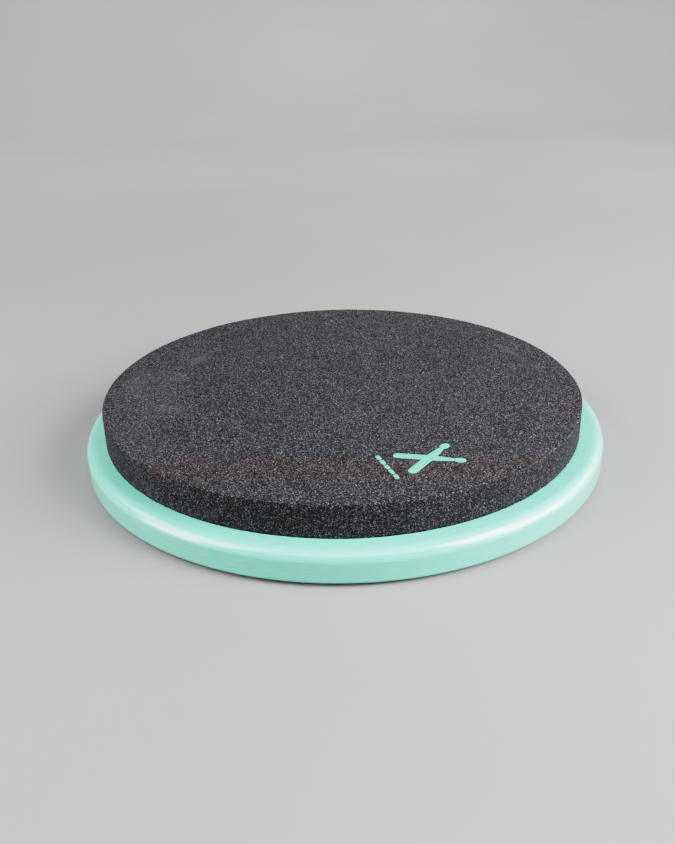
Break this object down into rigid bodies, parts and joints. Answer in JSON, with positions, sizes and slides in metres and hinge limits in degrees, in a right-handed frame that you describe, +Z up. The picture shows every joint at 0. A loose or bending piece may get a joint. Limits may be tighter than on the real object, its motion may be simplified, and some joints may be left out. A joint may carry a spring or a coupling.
{
  "type": "drum practice pad",
  "caption": "Round practice pad for drummers: a thick disc of dark cellular rubber foam glued on a wider round lacquered board with a rounded edge, and an anti-slip rubber ring underneath.",
  "frame": {"origin": "on the board's axis, at the level of the surface that the pad lies on (the underside of the anti-slip ring)", "axes": "+Z up, out of the playing face; the printed emblem is near the -Y edge, towards +X"},
  "size_m": [0.3048, 0.3048, 0.0379],
  "materials": {
    "board_lacquer": "medium-density fibreboard under an opaque satin seafoam green lacquer",
    "foam_rubber": "fine-celled dark grey foam rubber with a cut, granular, matt surface",
    "anti_slip_rubber": "thin black rubber sheet, matt, fine-textured",
    "adhesive": "double-sided acrylic adhesive film",
    "print_ink": "opaque seafoam green screen-print ink"
  },
  "bodies": {
    "root": {"base_board": "board_lacquer", "foam_adhesive_film": "adhesive", "foam_pad": "foam_rubber", "anti_slip_ring": "anti_slip_rubber", "anti_slip_adhesive_film": "adhesive", "print_emblem": "print_ink", "print_dash_1": "print_ink", "print_dash_2": "print_ink", "print_dash_3": "print_ink", "print_dash_4": "print_ink", "print_dash_5": "print_ink"}
  },
  "joints": []
}
